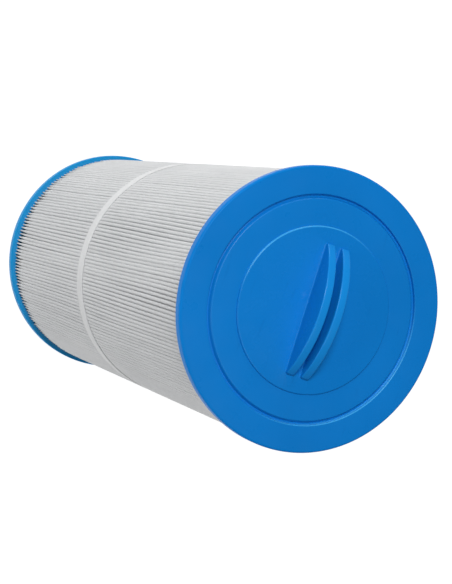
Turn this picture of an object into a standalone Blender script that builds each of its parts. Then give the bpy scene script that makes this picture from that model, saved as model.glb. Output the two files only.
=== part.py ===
"""Spa filter cartridge, standing upright: pleated media between two cast end caps, a grip with two
fins on top and a threaded nipple below.

Metres, +Z up. The origin is the centre of the nipple's lower end face, and X runs along the fins.
"""
import math

import bmesh
import bpy
from mathutils import Vector

MM = 0.001

# Driving dimensions
CAP_RADIUS = 76.2 * MM
CAP_THICKNESS = 6.0 * MM
CAP_EDGE = 1.2 * MM
BODY_LENGTH = 324.0 * MM          # from the lower cap's outer face to the upper cap's
GAP = 0.3 * MM                    # clearance between pieces that touch
MEDIA_RADIUS = 73.6 * MM
MEDIA_BORE = 32.0 * MM
SEAM_SLOT_ANGLE = math.radians(1.6)
SEAM_ANGLE = math.radians(0.9)
BAND_WIDTH = 9.5 * MM
BAND_THICKNESS = 0.6 * MM
BAND_BELOW_TOP = 171.0 * MM       # from the upper face down to the band's middle

# Nipple and gasket
NIPPLE_REACH = 28.0 * MM          # how far the nipple stands out of the lower cap
NIPPLE_BORE = 19.5 * MM
NIPPLE_RADIUS = 22.6 * MM         # at the root of the thread
NIPPLE_LEAD = 1.2 * MM            # chamfer at the open end
FLANGE_RADIUS = 31.0 * MM
THREAD_HEIGHT = 1.5 * MM
THREAD_PITCH = 4.2 * MM
THREAD_TURNS = 4.5
THREAD_START = 3.4 * MM
THREAD_ROOT_WIDTH = 3.0 * MM
THREAD_CREST_WIDTH = 1.1 * MM
THREAD_SINK = 0.4 * MM            # how deep the thread's foot lies inside the tube
THREAD_FADE = 0.2                 # turns over which each end of the thread runs out
GASKET_RADIUS = 29.5 * MM
GASKET_THICKNESS = 3.0 * MM

# Core cage
CORE_RADIUS = 29.5 * MM
CORE_BORE = 27.0 * MM
CORE_WINDOWS_AROUND = 10
CORE_WINDOWS_ALONG = 6
CORE_RIB_ANGLE = math.radians(14.0)
CORE_END_RING = 9.0 * MM
CORE_RING = 5.0 * MM
COUPLING_RADIUS = 31.4 * MM
COUPLING_LENGTH = 16.0 * MM

# Upper cap and grip
GROOVE_INNER = 58.8 * MM
GROOVE_OUTER = 61.2 * MM
GROOVE_DEPTH = 1.8 * MM
PLATE_RADIUS = 44.8 * MM
PLATE_PROUD = 0.9 * MM
RECESS_DEPTH = 2.5 * MM
FIN_CHORD = 71.5 * MM
FIN_CREST = 15.7 * MM             # above the plate
FIN_END_HEIGHT = 1.2 * MM
FIN_THICKNESS = 4.7 * MM
FIN_SPACING = 9.0 * MM            # between the middles of the two fins
FIN_OFFSET = 1.4 * MM             # from the axis to the middle of the pair
FIN_EDGE = 0.7 * MM
FIN_FOOT = 1.5 * MM               # how deep a fin reaches into the plate
FIN_STEPS = 22
FIN_EDGE_STEPS = 2

CAP_SEGMENTS = 64
NIPPLE_SEGMENTS = 36

# Levels along Z
LOWER_FACE = NIPPLE_REACH
LOWER_INSIDE = LOWER_FACE + CAP_THICKNESS
UPPER_FACE = LOWER_FACE + BODY_LENGTH
UPPER_INSIDE = UPPER_FACE - CAP_THICKNESS
MIDDLE = (LOWER_INSIDE + UPPER_INSIDE) / 2

BLUE = (0.007, 0.175, 0.550)
WHITE = (0.780, 0.790, 0.800)
BLACK = (0.015, 0.015, 0.017)


def material(name, colour, roughness, metallic=0.0):
    """A Principled material."""
    made = bpy.data.materials.new(name)
    made.use_nodes = True
    shader = made.node_tree.nodes["Principled BSDF"]
    shader.inputs["Base Color"].default_value = (*colour, 1.0)
    shader.inputs["Roughness"].default_value = roughness
    shader.inputs["Metallic"].default_value = metallic
    return made


def piece(name, mesh, finish=None):
    """Turn a bmesh into a named object with its own material. Without a finish it is a cutter."""
    bmesh.ops.recalc_face_normals(mesh, faces=mesh.faces)
    data = bpy.data.meshes.new(name)
    mesh.to_mesh(data)
    mesh.free()
    data.shade_smooth()
    data.set_sharp_from_angle(angle=math.radians(35))
    made = bpy.data.objects.new(name, data)
    bpy.context.collection.objects.link(made)
    if finish:
        data.materials.append(material(name + "_finish", *finish))
    else:
        made.hide_render = True
        made.display_type = "WIRE"
    return made


def join(body, added):
    """Fuse a guide object to a body."""
    union = body.modifiers.new(added.name, "BOOLEAN")
    union.operation = "UNION"
    union.object = added


def rounded(corners, steps=3):
    """Turn corners (radius, height, fillet) into outline points, with an arc at each fillet."""
    points = []
    count = len(corners)
    for index, (radius, height, fillet) in enumerate(corners):
        corner = Vector((radius, height))
        if fillet == 0:
            points.append(corner)
            continue
        back = Vector(corners[index - 1][:2]) - corner
        ahead = Vector(corners[(index + 1) % count][:2]) - corner
        back.normalize()
        ahead.normalize()
        half = back.angle(ahead) / 2
        centre = corner + (back + ahead).normalized() * (fillet / math.sin(half))
        start = corner + back * (fillet / math.tan(half)) - centre
        end = corner + ahead * (fillet / math.tan(half)) - centre
        first = math.atan2(start.y, start.x)
        sweep = math.atan2(start.x * end.y - start.y * end.x, start.dot(end))
        for step in range(steps + 1):
            turn = first + sweep * step / steps
            points.append(centre + fillet * Vector((math.cos(turn), math.sin(turn))))
    return points


def plain(corners):
    """Corners (radius, height) with no fillets, in the form that rounded() takes."""
    return [(radius, height, 0) for radius, height in corners]


def turned(corners, segments, steps=3):
    """Turn a closed outline about Z. A point on the axis closes its side with one flat face."""
    mesh = bmesh.new()
    loops = []
    for radius, height in rounded(corners, steps):
        if radius < 1e-9:
            loops.append(None)
            continue
        loop = []
        for step in range(segments):
            turn = 2 * math.pi * step / segments
            loop.append(mesh.verts.new((radius * math.cos(turn), radius * math.sin(turn), height)))
        loops.append(loop)
    for lower, upper in zip(loops, loops[1:] + loops[:1]):
        if lower is None and upper is None:
            continue
        if lower is None or upper is None:
            mesh.faces.new(lower or upper)
            continue
        for step in range(segments):
            after = (step + 1) % segments
            mesh.faces.new((lower[step], lower[after], upper[after], upper[step]))
    return mesh


def sector(inner, outer, low, high, first, last, segments):
    """A ring of rectangular section that runs from one angle to another, closed by end faces."""
    mesh = bmesh.new()
    sections = []
    for step in range(segments + 1):
        turn = first + (last - first) * step / segments
        across = Vector((math.cos(turn), math.sin(turn), 0))
        section = []
        for radius, height in ((inner, low), (outer, low), (outer, high), (inner, high)):
            section.append(mesh.verts.new(across * radius + Vector((0, 0, height))))
        sections.append(section)
    for near, far in zip(sections, sections[1:]):
        for corner in range(4):
            after = (corner + 1) % 4
            mesh.faces.new((near[corner], near[after], far[after], far[corner]))
    mesh.faces.new(sections[0])
    mesh.faces.new(sections[-1])
    return mesh


def cage(low, high):
    """One core section: a tube wall with a grid of rectangular windows."""
    mesh = bmesh.new()
    turns = []
    for window in range(CORE_WINDOWS_AROUND):
        middle = 2 * math.pi * window / CORE_WINDOWS_AROUND
        turns.append(middle - CORE_RIB_ANGLE / 2)
        turns.append(middle + CORE_RIB_ANGLE / 2)
    open_length = high - low - 2 * CORE_END_RING - (CORE_WINDOWS_ALONG - 1) * CORE_RING
    window_length = open_length / CORE_WINDOWS_ALONG
    levels = [low]
    for window in range(CORE_WINDOWS_ALONG):
        bottom = low + CORE_END_RING + window * (window_length + CORE_RING)
        levels.append(bottom)
        levels.append(bottom + window_length)
    levels.append(high)

    walls = []
    for radius in (CORE_BORE, CORE_RADIUS):
        rows = []
        for level in levels:
            row = []
            for turn in turns:
                row.append(mesh.verts.new((radius * math.cos(turn), radius * math.sin(turn), level)))
            rows.append(row)
        walls.append(rows)

    def is_window(row, column):
        inside = 0 <= row < len(levels) - 1
        return not inside or (row % 2 == 1 and column % 2 == 1)

    columns = len(turns)
    for row in range(len(levels) - 1):
        for column in range(columns):
            if is_window(row, column):
                continue
            after = (column + 1) % columns
            for rows in walls:
                mesh.faces.new((rows[row][column], rows[row][after],
                                rows[row + 1][after], rows[row + 1][column]))
            inner, outer = walls
            for level, neighbour in ((row, row - 1), (row + 1, row + 1)):
                if is_window(neighbour, column):
                    mesh.faces.new((inner[level][column], inner[level][after],
                                    outer[level][after], outer[level][column]))
            for side, neighbour in ((column, column - 1), (after, column + 1)):
                if is_window(row, neighbour % columns):
                    mesh.faces.new((inner[row][side], inner[row + 1][side],
                                    outer[row + 1][side], outer[row][side]))
    return mesh


def thread():
    """The helical ridge of the nipple. Its ends sink into the tube."""
    mesh = bmesh.new()
    sections = []
    count = int(THREAD_TURNS * NIPPLE_SEGMENTS)
    foot = NIPPLE_RADIUS - THREAD_SINK
    for step in range(count + 1):
        turns = step / NIPPLE_SEGMENTS
        turn = 2 * math.pi * turns
        height = THREAD_START + THREAD_PITCH * turns
        full = min(1.0, min(turns, THREAD_TURNS - turns) / THREAD_FADE)
        crest = foot + THREAD_SINK / 2 + (THREAD_HEIGHT + THREAD_SINK / 2) * full
        outline = ((foot, -THREAD_ROOT_WIDTH / 2), (crest, -THREAD_CREST_WIDTH / 2),
                   (crest, THREAD_CREST_WIDTH / 2), (foot, THREAD_ROOT_WIDTH / 2))
        section = []
        for radius, rise in outline:
            section.append(mesh.verts.new((radius * math.cos(turn), radius * math.sin(turn),
                                           height + rise)))
        sections.append(section)
    for near, far in zip(sections, sections[1:]):
        for corner in range(4):
            after = (corner + 1) % 4
            mesh.faces.new((near[corner], near[after], far[after], far[corner]))
    mesh.faces.new(sections[0])
    mesh.faces.new(sections[-1])
    return mesh


def fin(across):
    """One grip fin: a circular segment that stands on the plate, with its crest and ends rounded."""
    mesh = bmesh.new()
    half = FIN_CHORD / 2
    rise = FIN_CREST - FIN_END_HEIGHT
    arc_radius = (half * half + rise * rise) / (2 * rise)
    base = UPPER_FACE + PLATE_PROUD
    centre = base + FIN_CREST - arc_radius
    full_angle = math.asin((half - FIN_EDGE) / arc_radius)
    stations = [(-half, FIN_THICKNESS / 2 - FIN_EDGE)]
    for step in range(FIN_STEPS + 1):
        turn = full_angle * (2 * step / FIN_STEPS - 1)
        stations.append((arc_radius * math.sin(turn), FIN_THICKNESS / 2))
    stations.append((half, FIN_THICKNESS / 2 - FIN_EDGE))
    sections = []
    for along, thin in stations:
        crest = centre + math.sqrt(arc_radius * arc_radius - along * along)
        outline = [(-thin, base - FIN_FOOT)]
        for step in range(FIN_EDGE_STEPS + 1):
            turn = math.pi / 2 * step / FIN_EDGE_STEPS
            outline.append((-thin + FIN_EDGE * (1 - math.cos(turn)),
                            crest - FIN_EDGE * (1 - math.sin(turn))))
        outline += [(-aside, height) for aside, height in reversed(outline)]
        sections.append([mesh.verts.new((along, across + aside, height))
                         for aside, height in outline])
    corners = len(sections[0])
    for near, far in zip(sections, sections[1:]):
        for index in range(corners):
            mesh.faces.new((near[index - 1], near[index], far[index], far[index - 1]))
    mesh.faces.new(sections[0])
    mesh.faces.new(sections[-1])
    return mesh


def lower_end():
    """The lower cap, the nipple with its thread, and the gasket."""
    cap = [(FLANGE_RADIUS + GAP, LOWER_FACE, 0), (CAP_RADIUS, LOWER_FACE, CAP_EDGE),
           (CAP_RADIUS, LOWER_INSIDE, CAP_EDGE), (FLANGE_RADIUS + GAP, LOWER_INSIDE, 0)]
    piece("bottom_end_cap", turned(cap, CAP_SEGMENTS, 2), (BLUE, 0.32))
    tube = plain([(NIPPLE_BORE, 0), (NIPPLE_RADIUS - NIPPLE_LEAD, 0), (NIPPLE_RADIUS, NIPPLE_LEAD),
                  (NIPPLE_RADIUS, LOWER_FACE), (FLANGE_RADIUS, LOWER_FACE),
                  (FLANGE_RADIUS, LOWER_INSIDE), (NIPPLE_BORE, LOWER_INSIDE)])
    nipple = piece("threaded_nipple", turned(tube, NIPPLE_SEGMENTS), (BLUE, 0.30))
    join(nipple, piece("thread_guide", thread()))
    top = LOWER_FACE - GAP
    bottom = top - GASKET_THICKNESS
    inner = NIPPLE_RADIUS + GAP
    edge = GASKET_THICKNESS / 3
    ring = [(inner, bottom, edge), (GASKET_RADIUS, bottom, edge),
            (GASKET_RADIUS, top, edge), (inner, top, edge)]
    piece("nipple_gasket", turned(ring, NIPPLE_SEGMENTS, 1), (BLACK, 0.75))


def inside():
    """The core in two sections, with the sleeve that joins them."""
    piece("core_lower", cage(LOWER_INSIDE + GAP, MIDDLE - GAP / 2), (WHITE, 0.45))
    piece("core_upper", cage(MIDDLE + GAP / 2, UPPER_INSIDE - GAP), (WHITE, 0.45))
    bore = CORE_RADIUS + GAP
    low = MIDDLE - COUPLING_LENGTH / 2
    high = MIDDLE + COUPLING_LENGTH / 2
    sleeve = plain([(bore, low), (COUPLING_RADIUS, low), (COUPLING_RADIUS, high), (bore, high)])
    piece("core_coupling", turned(sleeve, 40), (WHITE, 0.45))


def media():
    """The pleat pack as a plain ring, slotted for the seam that closes it, and the band round it."""
    low = LOWER_INSIDE + GAP
    high = UPPER_INSIDE - GAP
    back = math.pi / 2
    piece("pleated_media", sector(MEDIA_BORE, MEDIA_RADIUS, low, high, back + SEAM_SLOT_ANGLE,
                                  back + 2 * math.pi - SEAM_SLOT_ANGLE, 72), (WHITE, 0.85))
    piece("media_seam", sector(MEDIA_BORE + GAP, MEDIA_RADIUS - GAP, low + GAP, high - GAP,
                               back - SEAM_ANGLE, back + SEAM_ANGLE, 1), (WHITE, 0.60))
    inner = MEDIA_RADIUS + GAP
    outer = inner + BAND_THICKNESS
    middle = UPPER_FACE - BAND_BELOW_TOP
    strap = plain([(inner, middle - BAND_WIDTH / 2), (outer, middle - BAND_WIDTH / 2),
                   (outer, middle + BAND_WIDTH / 2), (inner, middle + BAND_WIDTH / 2)])
    piece("media_band", turned(strap, 72), (WHITE, 0.70))


def upper_end():
    """The upper cap with its ring groove, and the grip plate that is set into it."""
    recess = PLATE_RADIUS + GAP
    floor = UPPER_FACE - RECESS_DEPTH
    slope = GROOVE_INNER + GROOVE_DEPTH * 0.8
    cap = [(0, UPPER_INSIDE, 0), (CAP_RADIUS, UPPER_INSIDE, CAP_EDGE),
           (CAP_RADIUS, UPPER_FACE, CAP_EDGE), (GROOVE_OUTER, UPPER_FACE, 0),
           (GROOVE_OUTER, UPPER_FACE - GROOVE_DEPTH, 0), (slope, UPPER_FACE - GROOVE_DEPTH, 0),
           (GROOVE_INNER, UPPER_FACE, 0), (recess, UPPER_FACE, 0), (recess, floor, 0),
           (0, floor, 0)]
    piece("top_end_cap", turned(cap, CAP_SEGMENTS, 2), (BLUE, 0.32))
    top = UPPER_FACE + PLATE_PROUD
    disc = [(0, floor + GAP, 0), (PLATE_RADIUS, floor + GAP, 0),
            (PLATE_RADIUS, top, PLATE_PROUD * 0.8), (0, top, 0)]
    plate = piece("handle_plate", turned(disc, 48, 2), (BLUE, 0.28))
    for side, name in ((-1, "fin_guide_near"), (1, "fin_guide_far")):
        join(plate, piece(name, fin(FIN_OFFSET + side * FIN_SPACING / 2)))


def build():
    for old in list(bpy.data.objects):
        bpy.data.objects.remove(old, do_unlink=True)
    lower_end()
    inside()
    media()
    upper_end()


build()
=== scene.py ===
"""Looks of the spa filter cartridge: pleated fabric, its band and seam, moulded caps, grip, nipple
and gasket, with their materials, a glowing table, soft lights and the camera. Metres, +Z up.
"""

import math
import random

import bmesh
import bpy
import numpy as np
from mathutils import Matrix, Vector


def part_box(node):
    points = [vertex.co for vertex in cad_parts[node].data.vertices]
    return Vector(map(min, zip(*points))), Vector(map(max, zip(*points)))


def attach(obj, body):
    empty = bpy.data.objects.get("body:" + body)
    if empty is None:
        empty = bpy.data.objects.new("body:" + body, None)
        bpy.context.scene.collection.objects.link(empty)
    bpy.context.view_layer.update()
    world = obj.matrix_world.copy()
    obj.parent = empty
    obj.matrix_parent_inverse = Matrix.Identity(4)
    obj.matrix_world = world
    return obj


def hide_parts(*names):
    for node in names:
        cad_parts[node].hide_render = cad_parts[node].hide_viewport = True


MM = 0.001
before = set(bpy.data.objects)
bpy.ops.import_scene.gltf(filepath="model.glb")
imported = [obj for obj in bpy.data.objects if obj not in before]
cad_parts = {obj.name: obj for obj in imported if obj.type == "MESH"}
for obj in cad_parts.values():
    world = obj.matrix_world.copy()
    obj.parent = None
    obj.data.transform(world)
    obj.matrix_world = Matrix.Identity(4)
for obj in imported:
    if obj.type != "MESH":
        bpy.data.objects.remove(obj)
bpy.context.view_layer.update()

# Levels and radii of the CAD frame
TOP_LOW, TOP_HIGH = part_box("top_end_cap")
BOTTOM_LOW, BOTTOM_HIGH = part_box("bottom_end_cap")
MEDIA_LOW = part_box("pleated_media")[0]
PLATE_LOW, PLATE_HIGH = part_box("handle_plate")
BAND_LOW, BAND_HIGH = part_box("media_band")
BAND_LEVEL = (BAND_LOW[2] + BAND_HIGH[2]) / 2
GASKET_LOW, GASKET_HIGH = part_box("nipple_gasket")
NIPPLE_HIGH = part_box("threaded_nipple")[1]
SEAM_LOW, SEAM_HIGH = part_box("media_seam")
CAP_RADIUS = TOP_HIGH[0]
UPPER_FACE = TOP_HIGH[2]
UPPER_INSIDE = TOP_LOW[2]
LOWER_FACE = BOTTOM_LOW[2]
LOWER_INSIDE = BOTTOM_HIGH[2]
PLATE_RADIUS = PLATE_HIGH[0]
PLATE_FOOT = PLATE_LOW[2]
MEDIA_RADIUS = -MEDIA_LOW[1]
FLANGE_RADIUS = NIPPLE_HIGH[0]

# Meshes
ROUND_SEGMENTS = 256
FILLET_STEPS = 8
SHARP_DEGREES = 35                # edges sharper than this stay sharp
SHARP_DEGREES_SOFT = 60           # the same for tape and glue

# Caps
CAP_EDGE = 1.3 * MM
CAP_INSIDE_EDGE = 0.8 * MM
GROOVE_INNER = 58.8 * MM
GROOVE_OUTER = 61.2 * MM
GROOVE_DEPTH = 1.8 * MM
GROOVE_DRAFT = 0.2 * MM           # how far the outer wall leans in at the bottom
GROOVE_SLOPE = 1.1 * MM           # how far the inner wall leans out at the bottom
GROOVE_LIP = 0.5 * MM
GROOVE_CORNER = 0.3 * MM
SLOPE_LIP = 0.8 * MM
SLOPE_FOOT = 0.5 * MM
RECESS_GAP = 0.3 * MM
RECESS_EDGE = 0.05 * MM
BORE_EDGE = 0.3 * MM

# Grip plate and its fins
PLATE_SEAT_GAP = 0.02 * MM
PLATE_PROUD = 0.9 * MM
PLATE_EDGE = 0.8 * MM
PLATE_TOP = UPPER_FACE + PLATE_PROUD
FIN_CHORD = 71.5 * MM
FIN_END_HEIGHT = 1.2 * MM
FIN_THICKNESS = 4.7 * MM
FIN_SPACING = 9.0 * MM
FIN_OFFSET = 1.4 * MM
FIN_CREST = PLATE_HIGH[2] - PLATE_TOP
FIN_EDGE = 0.7 * MM
FIN_FLARE = 0.6 * MM
FIN_FLARE_LIMIT = 0.8             # of the height below the crest's rounding
FIN_SINK = 0.4 * MM
FIN_STEPS = 72
FIN_EDGE_STEPS = 5

# Band
BAND_WIDTH = 10.0 * MM
BAND_THICKNESS = 0.28 * MM
BAND_EDGE = 0.12 * MM
BAND_EDGE_STEPS = 2
BAND_INNER = MEDIA_RADIUS - 0.34 * MM
BAND_DIP = 0.04 * MM              # between two tips
BAND_DRIFT = 0.25 * MM            # slow wander up and down
BAND_RIPPLE = 0.12 * MM
BAND_EASE = 3.5 * MM              # over which the tips rise beside the band

# Pleats: widths and leans are shares of the pitch, levels of rows are in millimetres
PLEATS = 203
MEDIA_BORE = 32.0 * MM
FOLD_HALF_WIDTH = 0.47            # at the foot of the flanks
FLANK_STOPS = (0.35, 0.75, 0.95)  # how far up the flank its points lie
TIP_HALF_WIDTH = 0.488
TIP_HALF_WIDTH_RANGE = (-0.018, 0.008)
TIP_STEPS = 6
TIP_HEIGHT_LOW = 0.80 * MM        # at the lower cap
TIP_HEIGHT_HIGH = 1.10 * MM       # at the upper cap
TIP_DROP = 0.16 * MM              # how unevenly far out the tips stand
TIP_UNDER_BAND = 0.05 * MM
HELD_FLATTENING = 0.65            # of the tips' height under the band
LOOSE_FROM = 0.25                 # the tips get loose towards -Y, from this share of it on
LOOSE_OVER = 0.60                 # and are fully loose this much further
TIGHT_HALF_WIDTH = 0.497
TIGHTENING = 0.85                 # how far the tips widen to that where they aren't loose
TIGHT_DROP = 0.35                 # of the loose ones' unevenness
TIGHT_HEIGHT = 0.25               # of the loose ones' height
LOWER_TAPER = 19.0 * MM           # over which a pleat narrows towards the lower cap
UPPER_TAPER = 7.0 * MM
TAPER_RANGE = (0.6, 1.3)
WIDTH_AT_CAPS = 0.40              # of the full width
DROP_AT_CAPS = 0.5 * MM
LEAN_WAVES = 9
LEAN_SIZE = 0.16                  # of neighbours together
OWN_LEAN = 0.020                  # of each pleat by itself
OWN_SWAY = (0.01, 0.03)
OWN_SWAY_TURNS = (0.8, 2.4)
STEADY_PLEATS = 6                 # beside the seam, where the glue keeps them upright
ROWS_NEAR_CAPS = (0.0, 1.5, 3.0, 5.0, 7.5, 10.5, 16.0, 26.0)
ROWS_NEAR_BAND = (5.0, 7.0, 9.5, 14.0, 30.0)
ROWS_BETWEEN = (0.36, 0.62)       # shares of the way from a cap to the band

# Seam, on the side away from the camera
SEAM_TURN = math.pi / 2
SEAM_SLOT_ANGLE = math.radians(1.0)
SEAM_ANGLE = math.radians(0.9)
SEAM_ROWS = 90
SEAM_SWELL = 0.9 * MM
SEAM_SHOULDER = 1.2 * MM
SEAM_CROWN = 0.35 * MM
SEAM_INSET = 1.0 * MM

# Nipple and gasket
NIPPLE_BORE = 19.5 * MM
NIPPLE_RADIUS = 22.6 * MM
NIPPLE_LEAD = 1.2 * MM
NIPPLE_EDGE = 0.3 * MM
NIPPLE_FILLET_STEPS = 4
FLANGE_CORNER = 0.25 * MM
THREAD_HEIGHT = 1.5 * MM
THREAD_PITCH = 4.2 * MM
THREAD_TURNS = 4.5
THREAD_START = 3.4 * MM
THREAD_ROOT = 3.0 * MM
THREAD_CREST = 1.1 * MM
THREAD_EDGE = 0.25 * MM
THREAD_EDGE_LEAST = 0.2           # of that edge where the ridge sinks away
THREAD_EDGE_STEPS = 3
THREAD_SINK = 0.4 * MM
THREAD_FADE = 0.2                 # turns over which it rises at each end
THREAD_SEGMENTS = 96
GASKET_GAP = 0.3 * MM
GASKET_EDGE = 1.0 * MM
GASKET_SEGMENTS = 128
GASKET_FILLET_STEPS = 6

# Materials
NOISE_LOW = 0.3                   # most of a noise lies between these two
NOISE_HIGH = 0.7
BLUE_LOW = (0.0030, 0.203, 0.635)
BLUE_HIGH = (0.0040, 0.222, 0.690)
# painted light: the colour of upward-facing crests, painted paler where light falls on them
BLUE_PAINTED_CREST_LIGHT = (0.0075, 0.270, 0.760)
# painted highlight: a pale arc along an edge on one side
BLUE_PAINTED_HIGHLIGHT = (0.0450, 0.400, 0.850)
# painted light: the lower end painted paler
BLUE_PAINTED_LOWER_LIGHT = (0.0150, 0.310, 0.700)
BLUE_SPECULAR = 0.22
BLUE_SPECULAR_RIM = 0.05
RIM_RANGE = (2.0 * MM, 0.9 * MM)  # in from the cap's radius, over which it gets less glossy
SCUFF_SHADE = (0.90, 0.93, 0.95)
CREST_FACING = (0.25, 0.80)       # how far a crest has to face up
CREST_RISE = (0.5 * MM, 2.0 * MM)
# where the painted highlight lies: its width, and its reach towards one side
PAINTED_HIGHLIGHT_WIDTH = (0.6 * MM, 0.2 * MM)
PAINTED_HIGHLIGHT_REACH = (0.35, 0.95)         # of the radius, towards the worn side
GROOVE_PAINTED_HIGHLIGHT_SIDE = (0.71, 0.71, 0.0)
PLATE_PAINTED_HIGHLIGHT_SIDE = (-0.87, -0.50, 0.0)
PLATE_PAINTED_HIGHLIGHT_RADIUS = PLATE_RADIUS - 0.3 * MM
FABRIC_LOW = (0.648, 0.658, 0.668)
FABRIC_HIGH = (0.708, 0.718, 0.727)
# painted shade deep in the folds beside the lower cap
FOLD_SHADE = (0.07, 0.07, 0.09)
FOLD_SHADE_DEPTH = (0.9 * MM, 2.6 * MM)
FOLD_SHADE_HEIGHT = 5.0 * MM      # of its darkest part, above the lower cap
FIBRE_SHADE = (0.93, 0.935, 0.94)
TAPE_LOW = (0.720, 0.730, 0.738)
TAPE_HIGH = (0.775, 0.784, 0.792)

# Stage
FLOOR_SIZE = 6.0
FLOOR_GLOW = 1.00
WORLD_LIGHT = 0.10
WHITE = (1.0, 1.0, 1.0, 1.0)
LIGHT_AIM = (0.0, 0.0, 0.2)
LIGHTS = (                        # name, place, width in metres, power in watts
    ("side", (-1.9, -0.1, 0.7), 1.0, 8.0),
    ("key", (-0.9, -0.9, 2.0), 0.6, 20.5),
    ("high", (-0.25, -0.35, 1.9), 0.4, 4.8),
    ("front", (0.9, -1.6, 0.8), 0.5, 3.2),
    ("sheen", (0.35, 0.05, 1.15), 0.35, 0.9),
)
CAMERA_PLACE = (0.0285, -0.3607, 0.6831)  # from the middle of the upper face
CAMERA_FORWARD = (-0.0306, 0.4120, -0.9107)
CAMERA_UPWARD = (-0.9515, -0.2909, -0.0996)
CAMERA_LENS = 90.5
CAMERA_SENSOR = 36.0

chance = random.Random(41)


# ---------------------------------------------------------------- mesh helpers

def rounded(corners, steps=FILLET_STEPS):
    """Turn corners (radius, height, fillet) into outline points, with an arc at each fillet."""
    points = []
    count = len(corners)
    for index, (radius, height, fillet) in enumerate(corners):
        corner = Vector((radius, height))
        if fillet == 0:
            points.append(corner)
            continue
        back = (Vector(corners[index - 1][:2]) - corner).normalized()
        ahead = (Vector(corners[(index + 1) % count][:2]) - corner).normalized()
        half = back.angle(ahead) / 2
        centre = corner + (back + ahead).normalized() * (fillet / math.sin(half))
        start = corner + back * (fillet / math.tan(half)) - centre
        end = corner + ahead * (fillet / math.tan(half)) - centre
        first = math.atan2(start.y, start.x)
        sweep = math.atan2(start.x * end.y - start.y * end.x, start.dot(end))
        for step in range(steps + 1):
            turn = first + sweep * step / steps
            points.append(centre + fillet * Vector((math.cos(turn), math.sin(turn))))
    return points


def turned(corners, segments=ROUND_SEGMENTS, steps=FILLET_STEPS):
    """Turn a closed outline about Z. A point on the axis closes its side with one flat face."""
    mesh = bmesh.new()
    loops = []
    for radius, height in rounded(corners, steps):
        if radius < 1e-9:
            loops.append(None)
            continue
        loop = []
        for step in range(segments):
            turn = 2 * math.pi * step / segments
            loop.append(mesh.verts.new((radius * math.cos(turn), radius * math.sin(turn), height)))
        loops.append(loop)
    for lower, upper in zip(loops, loops[1:] + loops[:1]):
        if lower is None and upper is None:
            continue
        if lower is None or upper is None:
            mesh.faces.new(lower or upper)
            continue
        for step in range(segments):
            after = (step + 1) % segments
            mesh.faces.new((lower[step], lower[after], upper[after], upper[step]))
    return mesh


def bridge(mesh, sections):
    """Join closed sections of equal length into a skin, and close both ends."""
    corners = len(sections[0])
    for near, far in zip(sections, sections[1:]):
        for index in range(corners):
            mesh.faces.new((near[index - 1], near[index], far[index], far[index - 1]))
    mesh.faces.new(sections[0])
    mesh.faces.new(sections[-1])
    return mesh


def to_object(name, mesh, sharp=SHARP_DEGREES):
    """A smooth-shaded object from a bmesh, with its sharp edges kept."""
    bmesh.ops.recalc_face_normals(mesh, faces=mesh.faces)
    data = bpy.data.meshes.new(name)
    mesh.to_mesh(data)
    mesh.free()
    data.shade_smooth()
    data.set_sharp_from_angle(angle=math.radians(sharp))
    made = bpy.data.objects.new(name, data)
    bpy.context.collection.objects.link(made)
    return made


def fuse(body, added):
    """Fuse the added objects into the body for good, and remove them."""
    for extra in added:
        union = body.modifiers.new(extra.name, "BOOLEAN")
        union.operation = "UNION"
        union.object = extra
    graph = bpy.context.evaluated_depsgraph_get()
    data = bpy.data.meshes.new_from_object(body.evaluated_get(graph))
    body.modifiers.clear()
    body.data = data
    data.set_sharp_from_angle(angle=math.radians(SHARP_DEGREES))
    for extra in added:
        bpy.data.objects.remove(extra, do_unlink=True)


def stands_for(piece, node, material):
    """Show a piece in place of a CAD node: give it its material, attach it to the root body and
    hide the node.
    """
    piece.data.materials.clear()
    piece.data.materials.append(material)
    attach(piece, "root")
    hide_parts(node)


# ---------------------------------------------------------------- materials

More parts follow.
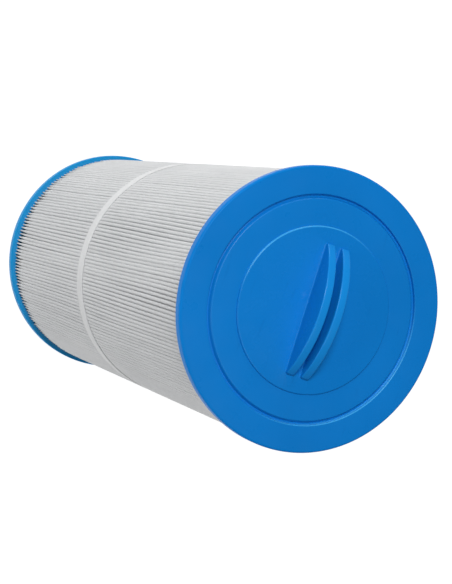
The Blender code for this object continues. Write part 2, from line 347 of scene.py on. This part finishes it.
class Surface:
    """A Principled material with helpers for its procedural detail."""

    def __init__(self, name, **sockets):
        self.material = bpy.data.materials.new(name)
        self.material.use_nodes = True
        self.tree = self.material.node_tree
        self.shader = self.tree.nodes["Principled BSDF"]
        for socket, value in sockets.items():
            self.shader.inputs[socket.replace("_", " ")].default_value = value
        self.place = self.add("ShaderNodeTexCoord").outputs["Object"]
        self.normal = None

    def add(self, kind, **settings):
        node = self.tree.nodes.new(kind)
        for name, value in settings.items():
            setattr(node, name, value)
        return node

    def link(self, source, target):
        self.tree.links.new(source, target)

    def noise(self, scale, detail=4.0, stretch=None):
        """Noise over the object's own coordinates, drawn out along an axis scaled below 1."""
        node = self.add("ShaderNodeTexNoise")
        node.inputs["Scale"].default_value = scale
        node.inputs["Detail"].default_value = detail
        place = self.place
        if stretch:
            mapping = self.add("ShaderNodeMapping")
            mapping.inputs["Scale"].default_value = stretch
            self.link(place, mapping.inputs["Vector"])
            place = mapping.outputs["Vector"]
        self.link(place, node.inputs["Vector"])
        return node.outputs["Fac"]

    def colours(self, factor, low, high, first=NOISE_LOW, last=NOISE_HIGH):
        """A colour that runs from low to high with a factor."""
        ramp = self.add("ShaderNodeValToRGB")
        ramp.color_ramp.elements[0].position = first
        ramp.color_ramp.elements[0].color = (*low, 1.0)
        ramp.color_ramp.elements[1].position = last
        ramp.color_ramp.elements[1].color = (*high, 1.0)
        self.link(factor, ramp.inputs["Fac"])
        return ramp.outputs["Color"]

    def base(self, colour):
        self.link(colour, self.shader.inputs["Base Color"])

    def darken(self, colour, factor, shade, first, last):
        """Multiply a colour by a shade where a factor is high."""
        mix = self.add("ShaderNodeMix", data_type="RGBA", blend_type="MULTIPLY")
        ramp = self.colours(factor, (1.0, 1.0, 1.0), shade, first, last)
        mix.inputs["Factor"].default_value = 1.0
        self.link(colour, mix.inputs["A"])
        self.link(ramp, mix.inputs["B"])
        return mix.outputs["Result"]

    def within(self, value, nought, full):
        """How far a value is on its way from one limit, where this is 0, to the other."""
        node = self.add("ShaderNodeMapRange", interpolation_type="SMOOTHSTEP")
        node.inputs["From Min"].default_value = nought
        node.inputs["From Max"].default_value = full
        self.link(value, node.inputs["Value"])
        return node.outputs["Result"]

    def times(self, first, second):
        node = self.add("ShaderNodeMath", operation="MULTIPLY")
        self.link(first, node.inputs[0])
        self.link(second, node.inputs[1])
        return node.outputs["Value"]

    def height(self):
        parts = self.add("ShaderNodeSeparateXYZ")
        self.link(self.place, parts.inputs[0])
        return parts.outputs["Z"]

    def crest(self, level):
        """Upward faces that stand above a level."""
        facing = self.add("ShaderNodeSeparateXYZ")
        self.link(self.add("ShaderNodeNewGeometry").outputs["Normal"], facing.inputs[0])
        upward = self.within(facing.outputs["Z"], *CREST_FACING)
        above = self.within(self.height(), level + CREST_RISE[0], level + CREST_RISE[1])
        return self.times(upward, above)

    def radius(self):
        flat = self.add("ShaderNodeVectorMath", operation="MULTIPLY")
        flat.inputs[1].default_value = (1.0, 1.0, 0.0)
        self.link(self.place, flat.inputs[0])
        length = self.add("ShaderNodeVectorMath", operation="LENGTH")
        self.link(flat.outputs["Vector"], length.inputs[0])
        return length.outputs["Value"]

    def edge_at(self, radius, towards):
        """A narrow arc at a radius from the axis, on the side that a direction points to."""
        away = self.add("ShaderNodeMath", operation="SUBTRACT")
        self.link(self.radius(), away.inputs[0])
        away.inputs[1].default_value = radius
        either_way = self.add("ShaderNodeMath", operation="ABSOLUTE")
        self.link(away.outputs["Value"], either_way.inputs[0])
        ring = self.within(either_way.outputs["Value"], *PAINTED_HIGHLIGHT_WIDTH)
        along = self.add("ShaderNodeVectorMath", operation="DOT_PRODUCT")
        self.link(self.place, along.inputs[0])
        along.inputs[1].default_value = towards
        side = self.within(along.outputs["Value"], PAINTED_HIGHLIGHT_REACH[0] * radius, PAINTED_HIGHLIGHT_REACH[1] * radius)
        return self.times(ring, side)

    def painted_fold_shade(self):
        """Mask of painted shade in the folds beside the lower cap: 1 deep inside a fold, where
        shade falls, 0 at its tip and above.
        """
        inward = self.within(self.radius(), MEDIA_RADIUS - FOLD_SHADE_DEPTH[0],
                             MEDIA_RADIUS - FOLD_SHADE_DEPTH[1])
        near_cap = self.within(self.height(), LOWER_INSIDE + LOWER_TAPER,
                               LOWER_INSIDE + FOLD_SHADE_HEIGHT)
        return self.times(inward, near_cap)

    def blend(self, colour, other, factor):
        mix = self.add("ShaderNodeMix", data_type="RGBA")
        self.link(factor, mix.inputs["Factor"])
        self.link(colour, mix.inputs["A"])
        mix.inputs["B"].default_value = (*other, 1.0)
        return mix.outputs["Result"]

    def drive(self, socket, factor, low, high, first, last):
        """A shader socket runs from low to high while a factor runs from first to last."""
        node = self.add("ShaderNodeMapRange")
        node.inputs["From Min"].default_value = first
        node.inputs["From Max"].default_value = last
        node.inputs["To Min"].default_value = low
        node.inputs["To Max"].default_value = high
        self.link(factor, node.inputs["Value"])
        self.link(node.outputs["Result"], self.shader.inputs[socket])

    def rough(self, factor, low, high):
        self.drive("Roughness", factor, low, high, NOISE_LOW, NOISE_HIGH)

    def bump(self, factor, strength, distance):
        node = self.add("ShaderNodeBump")
        node.inputs["Strength"].default_value = strength
        node.inputs["Distance"].default_value = distance
        self.link(factor, node.inputs["Height"])
        if self.normal:
            self.link(self.normal, node.inputs["Normal"])
        self.normal = node.outputs["Normal"]
        self.link(self.normal, self.shader.inputs["Normal"])


def moulded_blue(name, rough_low, rough_high, highlight_radius, highlight_side, painted_crest_light_above=None):
    """Satin blue plastic: slight mottling, soft flow waves, an orange-peel skin and fine scuffs.
    The edge at one radius is painted pale on one side as a painted highlight, and crests that face
    up above a level are painted paler as painted light. The lower end is painted paler as painted
    light, and the outer rim is less glossy."""
    surface = Surface(name, IOR=1.48)
    colour = surface.colours(surface.noise(14.0, 3.0), BLUE_LOW, BLUE_HIGH)
    # Painted light: crests that face up above a level are painted paler.
    if painted_crest_light_above:
        colour = surface.blend(colour, BLUE_PAINTED_CREST_LIGHT, surface.crest(painted_crest_light_above))
    # Painted highlight: a narrow arc of the edge at one radius is painted pale on one side.
    colour = surface.blend(colour, BLUE_PAINTED_HIGHLIGHT, surface.edge_at(highlight_radius, highlight_side))
    # Painted light: the blue is painted paler towards the lower end.
    lower = surface.within(surface.height(), UPPER_INSIDE, LOWER_INSIDE)
    colour = surface.blend(colour, BLUE_PAINTED_LOWER_LIGHT, lower)
    scuffs = surface.noise(70.0, 6.0, stretch=(1.0, 5.0, 1.0))
    surface.base(surface.darken(colour, scuffs, SCUFF_SHADE, 0.66, 0.76))
    rim = surface.within(surface.radius(), CAP_RADIUS - RIM_RANGE[0], CAP_RADIUS - RIM_RANGE[1])
    surface.drive("Specular IOR Level", rim, BLUE_SPECULAR, BLUE_SPECULAR_RIM, 0.0, 1.0)
    surface.rough(surface.noise(90.0, 5.0), rough_low, rough_high)
    surface.bump(surface.noise(22.0, 2.0), 0.10, 1.2 * MM)
    surface.bump(surface.noise(1500.0, 2.0), 0.10, 0.06 * MM)
    return surface.material


def pleat_fabric():
    """Spun-bonded polyester: matted fibres along the fold, point-bond dimples, faint clouding, and
    painted shade deep in the folds beside the lower cap.
    """
    surface = Surface("pleat_fabric", Sheen_Weight=0.12, Sheen_Roughness=0.6,
                      Specular_IOR_Level=0.25)
    clouds = surface.noise(30.0, 4.0, stretch=(1.0, 1.0, 0.35))
    colour = surface.colours(clouds, FABRIC_LOW, FABRIC_HIGH)
    # Painted shade: the fabric darkens deep inside the folds beside the lower cap.
    colour = surface.darken(colour, surface.painted_fold_shade(), FOLD_SHADE, 0.0, 1.0)
    fibres = surface.noise(900.0, 6.0, stretch=(1.0, 1.0, 0.25))
    surface.base(surface.darken(colour, fibres, FIBRE_SHADE, 0.52, 0.70))
    surface.rough(surface.noise(400.0, 3.0), 0.78, 0.94)
    dimples = surface.add("ShaderNodeTexVoronoi")
    dimples.inputs["Scale"].default_value = 850.0
    surface.link(surface.place, dimples.inputs["Vector"])
    surface.bump(dimples.outputs["Distance"], 0.25, 0.10 * MM)
    surface.bump(fibres, 0.30, 0.12 * MM)
    return surface.material


def tape_fabric():
    """Woven polyester tape: warp and weft of about 0.8 mm from the tape's own UV lengths."""
    surface = Surface("tape_fabric", Sheen_Weight=0.10, Sheen_Roughness=0.6,
                      Specular_IOR_Level=0.3)
    surface.base(surface.colours(surface.noise(60.0, 3.0), TAPE_LOW, TAPE_HIGH))
    along = surface.add("ShaderNodeTexCoord").outputs["UV"]
    weave = []
    for direction in ("X", "Y"):
        wave = surface.add("ShaderNodeTexWave", bands_direction=direction)
        wave.inputs["Scale"].default_value = 390.0
        wave.inputs["Distortion"].default_value = 0.6
        surface.link(along, wave.inputs["Vector"])
        weave.append(wave.outputs["Fac"])
    both = surface.add("ShaderNodeMath", operation="MAXIMUM")
    surface.link(weave[0], both.inputs[0])
    surface.link(weave[1], both.inputs[1])
    surface.rough(surface.noise(500.0, 3.0), 0.66, 0.84)
    surface.bump(both.outputs["Value"], 0.35, 0.12 * MM)
    return surface.material


def core_plastic():
    """White moulded core: matte, with flow marks along its ribs."""
    surface = Surface("core_plastic", IOR=1.5, Specular_IOR_Level=0.4)
    flow = surface.noise(45.0, 4.0, stretch=(1.0, 1.0, 0.3))
    surface.base(surface.colours(flow, (0.66, 0.67, 0.67), (0.74, 0.745, 0.74)))
    surface.rough(surface.noise(120.0, 4.0), 0.38, 0.56)
    surface.bump(surface.noise(700.0, 3.0), 0.15, 0.10 * MM)
    return surface.material


def gasket_rubber():
    """Black gasket rubber: bloom in pale clouds, a fine moulded grain."""
    surface = Surface("gasket_rubber", IOR=1.52, Specular_IOR_Level=0.3)
    bloom = surface.noise(55.0, 6.0)
    surface.base(surface.colours(bloom, (0.012, 0.012, 0.013), (0.032, 0.032, 0.034)))
    surface.rough(surface.noise(160.0, 4.0), 0.62, 0.86)
    surface.bump(surface.noise(1100.0, 3.0), 0.25, 0.10 * MM)
    return surface.material


def hot_melt():
    """Off-white hot-melt glue: lumpy and slightly shiny."""
    surface = Surface("hot_melt", IOR=1.49, Specular_IOR_Level=0.5)
    lumps = surface.noise(160.0, 3.0, stretch=(1.0, 1.0, 0.4))
    surface.base(surface.colours(lumps, (0.70, 0.69, 0.63), (0.80, 0.79, 0.74)))
    surface.rough(surface.noise(220.0, 3.0), 0.28, 0.46)
    surface.bump(lumps, 0.5, 0.5 * MM)
    return surface.material


# ---------------------------------------------------------------- pleats, band and seam

def smooth_field(share):
    """A smooth random field over pleats and levels, so that neighbours lean together."""
    pleat = np.arange(PLEATS)[:, None]
    field = np.zeros((PLEATS, len(share)))
    for _ in range(LEAN_WAVES):
        round_turns = chance.randint(2, 14)
        long_turns = chance.uniform(0.2, 1.6)
        phase = chance.uniform(0, 2 * math.pi)
        field += np.sin(2 * math.pi * (pleat * round_turns / PLEATS + share * long_turns) + phase)
    return field * LEAN_SIZE / math.sqrt(LEAN_WAVES)


def pleat_heights():
    """Levels of the pleat rows: close together at the caps and beside the band."""
    levels = {BAND_LEVEL}
    for reach in ROWS_NEAR_CAPS:
        levels.add(LOWER_INSIDE + reach * MM)
        levels.add(UPPER_INSIDE - reach * MM)
    for reach in ROWS_NEAR_BAND:
        levels.add(BAND_LEVEL - reach * MM)
        levels.add(BAND_LEVEL + reach * MM)
    for share in ROWS_BETWEEN:
        levels.add(LOWER_INSIDE + (BAND_LEVEL - LOWER_INSIDE) * share)
        levels.add(UPPER_INSIDE - (UPPER_INSIDE - BAND_LEVEL) * share)
    return np.array(sorted(levels))


def pleat_leans(share):
    """How far each pleat leans at each level. It stands straight beside the seam."""
    lean = smooth_field(share)
    for pleat in range(PLEATS):
        shift = chance.gauss(0, OWN_LEAN)
        size = chance.uniform(*OWN_SWAY)
        phase = chance.uniform(0, 2 * math.pi)
        turns = chance.uniform(*OWN_SWAY_TURNS)
        lean[pleat] += shift + size * np.sin(2 * math.pi * turns * share + phase)
    order = np.arange(PLEATS)
    from_seam = np.minimum(order, order[::-1]) / STEADY_PLEATS
    return lean * np.clip(from_seam, 0, 1)[:, None]


def tip_shape(centre, heights, share, held):
    """Half width, radius and height of one pleat's tip at each level. It narrows towards the caps,
    lies flat and wide under the band, and is looser towards -Y."""
    open_low = (heights - LOWER_INSIDE) / (LOWER_TAPER * chance.uniform(*TAPER_RANGE))
    open_high = (UPPER_INSIDE - heights) / (UPPER_TAPER * chance.uniform(*TAPER_RANGE))
    opened = np.clip(np.minimum(open_low, open_high), 0, 1)
    opened = opened * opened * (3 - 2 * opened)
    loose = min(1.0, max(0.0, (-math.sin(centre) - LOOSE_FROM) / LOOSE_OVER))
    half = TIP_HALF_WIDTH + chance.uniform(*TIP_HALF_WIDTH_RANGE)
    half += (TIGHT_HALF_WIDTH - half) * (1 - loose) * TIGHTENING
    half = half * (WIDTH_AT_CAPS + (1 - WIDTH_AT_CAPS) * opened)
    half += (TIGHT_HALF_WIDTH - half) * held
    drop = abs(chance.gauss(0, TIP_DROP)) * (TIGHT_DROP + (1 - TIGHT_DROP) * loose)
    drop = drop + chance.uniform(0, DROP_AT_CAPS) * (1 - opened)
    tip = (MEDIA_RADIUS - drop) * (1 - held) + (BAND_INNER - TIP_UNDER_BAND) * held
    height = TIP_HEIGHT_LOW + (TIP_HEIGHT_HIGH - TIP_HEIGHT_LOW) * share
    height = height * (1 - HELD_FLATTENING * held) * (TIGHT_HEIGHT + (1 - TIGHT_HEIGHT) * loose)
    return half, tip, height


def pleat_outline(centre, pitch, lean, near_foot, far_foot, tip_facts):
    """One pleat as (angle, radius) at each level, from its first valley up and over its tip."""
    half, tip, height = tip_facts
    shoulder = tip - height

    def flank(side, foot, stop):
        aside = side * (FOLD_HALF_WIDTH + (half - FOLD_HALF_WIDTH) * stop)
        sway = foot + (lean - foot) * stop
        return centre + (aside + sway) * pitch, MEDIA_BORE + (shoulder - MEDIA_BORE) * stop

    outline = [(centre + (near_foot - 0.5) * pitch, np.full_like(shoulder, MEDIA_BORE))]
    outline += [flank(-1, near_foot, stop) for stop in FLANK_STOPS]
    for step in range(TIP_STEPS + 1):
        turn = math.pi * step / TIP_STEPS
        outline.append((centre + (lean - half * math.cos(turn)) * pitch,
                        shoulder + height * math.sin(turn)))
    outline += [flank(1, far_foot, stop) for stop in reversed(FLANK_STOPS)]
    return outline


def sheet_object(name, points):
    """A smooth open sheet through a grid of points."""
    columns, rows = points.shape[:2]
    index = np.arange(columns * rows).reshape(columns, rows)
    faces = np.stack([index[:-1, :-1], index[1:, :-1], index[1:, 1:], index[:-1, 1:]], axis=-1)
    data = bpy.data.meshes.new(name)
    data.from_pydata(points.reshape(-1, 3).tolist(), [], faces.reshape(-1, 4).tolist())
    data.shade_smooth()
    made = bpy.data.objects.new(name, data)
    bpy.context.collection.objects.link(made)
    return made


def pleat_sheet():
    """The folded fabric as one open sheet, with its flat width and its flat length, which is
    measured over the folds a quarter of the rows up."""
    heights = pleat_heights()
    share = (heights - LOWER_INSIDE) / (UPPER_INSIDE - LOWER_INSIDE)
    first = SEAM_TURN + SEAM_SLOT_ANGLE
    pitch = (2 * math.pi - 2 * SEAM_SLOT_ANGLE) / PLEATS
    lean = pleat_leans(share)
    foot = np.zeros((PLEATS + 1, len(heights)))
    foot[1:-1] = (lean[1:] + lean[:-1]) / 2
    beyond_band = np.maximum(np.abs(heights - BAND_LEVEL) - BAND_WIDTH / 2, 0)
    held = np.exp(-(beyond_band / BAND_EASE) ** 2)
    outline = []
    for pleat in range(PLEATS):
        centre = first + (pleat + 0.5) * pitch
        outline += pleat_outline(centre, pitch, lean[pleat], foot[pleat], foot[pleat + 1],
                                 tip_shape(centre, heights, share, held))
    outline.append((first + (PLEATS + foot[-1]) * pitch, np.full_like(heights, MEDIA_BORE)))
    angles, radii = np.array(outline).transpose(1, 0, 2)
    points = np.stack([radii * np.cos(angles), radii * np.sin(angles),
                       np.broadcast_to(heights, radii.shape)], axis=-1)
    quarter_up = points[:, len(heights) // 4]
    length = np.linalg.norm(np.diff(quarter_up, axis=0), axis=1).sum()
    return sheet_object("pleats", points), float(length), float(heights[-1] - heights[0])


def band_loop():
    """The tape round the pleats: it spans from tip to tip and dips a little between them."""
    mesh = bmesh.new()
    layer = mesh.loops.layers.uv.new("lengths")
    edge = BAND_WIDTH / 2
    profile = rounded([(0, -edge, BAND_EDGE), (BAND_THICKNESS, -edge, BAND_EDGE),
                       (BAND_THICKNESS, edge, BAND_EDGE), (0, edge, BAND_EDGE)], BAND_EDGE_STEPS)
    columns = PLEATS * 4
    sections = []
    for column in range(columns):
        turn = 2 * math.pi * column / columns
        inner = BAND_INNER - BAND_DIP * (1 - math.cos(turn * PLEATS)) / 2
        drift = BAND_DRIFT * math.sin(3 * turn + 0.7) + BAND_RIPPLE * math.sin(11 * turn)
        sections.append([mesh.verts.new(((inner + outward) * math.cos(turn),
                                         (inner + outward) * math.sin(turn),
                                         BAND_LEVEL + height + drift))
                         for outward, height in profile])
    around = 2 * math.pi * MEDIA_RADIUS / columns
    for column in range(columns):
        near = sections[column]
        far = sections[(column + 1) % columns]
        for index in range(len(profile)):
            face = mesh.faces.new((near[index - 1], near[index], far[index], far[index - 1]))
            places = ((column, index - 1), (column, index),
                      (column + 1, index), (column + 1, index - 1))
            for loop, (along, corner) in zip(face.loops, places):
                loop[layer].uv = (along * around, profile[corner][1] + BAND_WIDTH)
    return to_object("media_tape", mesh, SHARP_DEGREES_SOFT)


def seam_bead():
    """The glued seam: a thin wedge between the first and the last pleat with a lumpy outer edge."""
    mesh = bmesh.new()
    low = SEAM_LOW[2]
    high = SEAM_HIGH[2]
    root = MEDIA_BORE + SEAM_INSET
    sections = []
    for row in range(SEAM_ROWS + 1):
        height = low + (high - low) * row / SEAM_ROWS
        swell = 0.5 + 0.22 * math.sin(row * 0.9) + 0.18 * math.sin(row * 2.3 + 1.0)
        outer = SEAM_HIGH[1] - SEAM_SWELL * swell
        half = SEAM_ANGLE * (0.55 + 0.30 * swell)
        near_side = [(root, -0.6), (outer - SEAM_SHOULDER, -1.0), (outer - SEAM_CROWN, -0.75)]
        far_side = [(radius, -side) for radius, side in reversed(near_side)]
        section = []
        for radius, side in near_side + [(outer, 0.0)] + far_side:
            turn = SEAM_TURN + side * half
            section.append(mesh.verts.new((radius * math.cos(turn), radius * math.sin(turn),
                                           height)))
        sections.append(section)
    return to_object("seam_bead", bridge(mesh, sections), SHARP_DEGREES_SOFT)


def media(fabric, tape, glue):
    pleats, cut_length, cut_width = pleat_sheet()
    stands_for(pleats, "pleated_media", fabric)
    loop = band_loop()
    stands_for(loop, "media_band", tape)
    stands_for(seam_bead(), "media_seam", glue)


# ---------------------------------------------------------------- caps, grip, nipple, gasket

def upper_cap(blue):
    recess = PLATE_RADIUS + PLATE_SEAT_GAP
    seat = PLATE_FOOT - RECESS_GAP
    bottom = UPPER_FACE - GROOVE_DEPTH
    cap = [(0, UPPER_INSIDE, 0), (CAP_RADIUS, UPPER_INSIDE, CAP_INSIDE_EDGE),
           (CAP_RADIUS, UPPER_FACE, CAP_EDGE), (GROOVE_OUTER, UPPER_FACE, GROOVE_LIP),
           (GROOVE_OUTER - GROOVE_DRAFT, bottom, GROOVE_CORNER),
           (GROOVE_INNER + GROOVE_SLOPE, bottom, SLOPE_FOOT),
           (GROOVE_INNER, UPPER_FACE, SLOPE_LIP), (recess, UPPER_FACE, RECESS_EDGE),
           (recess, seat, 0), (0, seat, 0)]
    stands_for(to_object("upper_cap", turned(cap)), "top_end_cap", blue)


def fin(across):
    """One grip fin: a circular segment with rounded crest and ends, flared at the plate."""
    mesh = bmesh.new()
    half = FIN_CHORD / 2
    rise = FIN_CREST - FIN_END_HEIGHT
    arc_radius = (half * half + rise * rise) / (2 * rise)
    centre = PLATE_TOP + FIN_CREST - arc_radius
    full_angle = math.asin((half - FIN_EDGE) / arc_radius)
    stations = []
    for step in range(FIN_EDGE_STEPS):
        turn = math.pi / 2 * step / FIN_EDGE_STEPS
        stations.append((-half + FIN_EDGE * (1 - math.cos(turn)),
                         FIN_THICKNESS / 2 - FIN_EDGE * (1 - math.sin(turn))))
    for step in range(FIN_STEPS + 1):
        turn = full_angle * (2 * step / FIN_STEPS - 1)
        stations.append((arc_radius * math.sin(turn), FIN_THICKNESS / 2))
    stations += [(-along, thin) for along, thin in reversed(stations[:FIN_EDGE_STEPS])]
    turns = [math.pi / 2 * step / FIN_EDGE_STEPS for step in range(FIN_EDGE_STEPS + 1)]
    sections = []
    for along, thin in stations:
        crest = centre + math.sqrt(arc_radius * arc_radius - along * along)
        flare = min(FIN_FLARE, (crest - PLATE_TOP - FIN_EDGE) * FIN_FLARE_LIMIT)
        outline = [(-thin - flare, PLATE_TOP - FIN_SINK)]
        outline += [(-thin - flare * (1 - math.sin(turn)),
                     PLATE_TOP + flare * (1 - math.cos(turn))) for turn in turns]
        outline += [(-thin + FIN_EDGE * (1 - math.cos(turn)),
                     crest - FIN_EDGE * (1 - math.sin(turn))) for turn in turns]
        outline += [(-aside, height) for aside, height in reversed(outline)]
        sections.append([mesh.verts.new((along, across + aside, height))
                         for aside, height in outline])
    return to_object("fin", bridge(mesh, sections))


def grip(blue):
    disc = [(0, PLATE_FOOT, 0), (PLATE_RADIUS, PLATE_FOOT, 0),
            (PLATE_RADIUS, PLATE_TOP, PLATE_EDGE), (0, PLATE_TOP, 0)]
    plate = to_object("grip_plate", turned(disc))
    fuse(plate, [fin(FIN_OFFSET - FIN_SPACING / 2), fin(FIN_OFFSET + FIN_SPACING / 2)])
    stands_for(plate, "handle_plate", blue)


def lower_cap(blue):
    bore = FLANGE_RADIUS + RECESS_GAP
    cap = [(bore, LOWER_FACE, BORE_EDGE), (CAP_RADIUS, LOWER_FACE, CAP_EDGE),
           (CAP_RADIUS, LOWER_INSIDE, CAP_INSIDE_EDGE), (bore, LOWER_INSIDE, 0)]
    stands_for(to_object("lower_cap", turned(cap)), "bottom_end_cap", blue)


def thread():
    """The helical ridge with a rounded crest. Its ends sink into the tube."""
    mesh = bmesh.new()
    foot = NIPPLE_RADIUS - THREAD_SINK
    count = int(THREAD_TURNS * THREAD_SEGMENTS)
    sections = []
    for step in range(count + 1):
        turns = step / THREAD_SEGMENTS
        turn = 2 * math.pi * turns
        full = min(1.0, min(turns, THREAD_TURNS - turns) / THREAD_FADE)
        crest = foot + THREAD_SINK / 2 + (THREAD_HEIGHT + THREAD_SINK / 2) * full
        fillet = THREAD_EDGE * max(full, THREAD_EDGE_LEAST)
        outline = rounded([(foot, -THREAD_ROOT / 2, 0), (crest, -THREAD_CREST / 2, fillet),
                           (crest, THREAD_CREST / 2, fillet), (foot, THREAD_ROOT / 2, 0)],
                          THREAD_EDGE_STEPS)
        height = THREAD_START + THREAD_PITCH * turns
        sections.append([mesh.verts.new((radius * math.cos(turn), radius * math.sin(turn),
                                         height + rise)) for radius, rise in outline])
    return to_object("thread", bridge(mesh, sections))


def nipple(blue):
    tube = [(NIPPLE_BORE, 0, NIPPLE_EDGE), (NIPPLE_RADIUS - NIPPLE_LEAD, 0, NIPPLE_EDGE),
            (NIPPLE_RADIUS, NIPPLE_LEAD, NIPPLE_EDGE), (NIPPLE_RADIUS, LOWER_FACE, FLANGE_CORNER),
            (FLANGE_RADIUS, LOWER_FACE, NIPPLE_EDGE), (FLANGE_RADIUS, LOWER_INSIDE, 0),
            (NIPPLE_BORE, LOWER_INSIDE, 0)]
    body = to_object("nipple", turned(tube, THREAD_SEGMENTS, NIPPLE_FILLET_STEPS))
    fuse(body, [thread()])
    stands_for(body, "threaded_nipple", blue)


def gasket(rubber):
    inner = NIPPLE_RADIUS + GASKET_GAP
    outer = GASKET_HIGH[0]
    low = GASKET_LOW[2]
    high = GASKET_HIGH[2]
    ring = [(inner, low, GASKET_EDGE), (outer, low, GASKET_EDGE),
            (outer, high, GASKET_EDGE), (inner, high, GASKET_EDGE)]
    made = to_object("gasket_ring", turned(ring, GASKET_SEGMENTS, GASKET_FILLET_STEPS))
    stands_for(made, "nipple_gasket", rubber)


def core(plastic):
    """The CAD core pieces keep their shape and get their finish."""
    for name in ("core_lower", "core_upper", "core_coupling"):
        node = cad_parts[name]
        node.data.materials.clear()
        node.data.materials.append(plastic)


# ---------------------------------------------------------------- stage

def floor():
    """A white table that glows by itself."""
    mesh = bmesh.new()
    bmesh.ops.create_grid(mesh, x_segments=8, y_segments=8, size=FLOOR_SIZE)
    made = to_object("floor", mesh)
    surface = Surface("light_table", Specular_IOR_Level=0.1)
    surface.base(surface.colours(surface.noise(3.0, 2.0), (0.10, 0.10, 0.10), (0.12, 0.12, 0.12)))
    surface.rough(surface.noise(40.0, 2.0), 0.85, 0.95)
    surface.shader.inputs["Emission Color"].default_value = WHITE
    surface.shader.inputs["Emission Strength"].default_value = FLOOR_GLOW
    made.data.materials.append(surface.material)


def area_light(name, place, width, power):
    data = bpy.data.lights.new(name, "AREA")
    data.shape = "DISK"
    data.size = width
    data.energy = power
    made = bpy.data.objects.new(name, data)
    made.location = place
    aim = Vector(LIGHT_AIM) - Vector(place)
    made.rotation_euler = aim.to_track_quat("-Z", "Y").to_euler()
    bpy.context.collection.objects.link(made)


def lights():
    world = bpy.data.worlds.new("studio")
    bpy.context.scene.world = world
    world.use_nodes = True
    background = world.node_tree.nodes["Background"]
    background.inputs["Color"].default_value = WHITE
    background.inputs["Strength"].default_value = WORLD_LIGHT
    for name, place, width, power in LIGHTS:
        area_light(name, place, width, power)


def camera():
    """The camera looks down on the grip, past the near side of the cartridge."""
    across, back, above = CAMERA_PLACE
    position = Vector((across, back, UPPER_FACE + above))
    forward = Vector(CAMERA_FORWARD).normalized()
    right = forward.cross(Vector(CAMERA_UPWARD)).normalized()
    up = right.cross(forward)
    data = bpy.data.cameras.new("camera")
    data.sensor_width = CAMERA_SENSOR
    data.lens = CAMERA_LENS
    made = bpy.data.objects.new("camera", data)
    turned_to = Matrix((right, up, -forward)).transposed().to_4x4()
    made.matrix_world = Matrix.Translation(position) @ turned_to
    bpy.context.collection.objects.link(made)
    bpy.context.scene.camera = made


def build():
    camera()
    cap_blue = moulded_blue("cap_blue", 0.26, 0.38, GROOVE_OUTER, GROOVE_PAINTED_HIGHLIGHT_SIDE)
    grip_blue = moulded_blue("grip_blue", 0.22, 0.32, PLATE_PAINTED_HIGHLIGHT_RADIUS, PLATE_PAINTED_HIGHLIGHT_SIDE,
                             painted_crest_light_above=PLATE_TOP)
    media(pleat_fabric(), tape_fabric(), hot_melt())
    upper_cap(cap_blue)
    grip(grip_blue)
    lower_cap(cap_blue)
    nipple(grip_blue)
    gasket(gasket_rubber())
    core(core_plastic())
    floor()
    lights()
    bpy.context.scene.view_settings.view_transform = "Standard"


build()
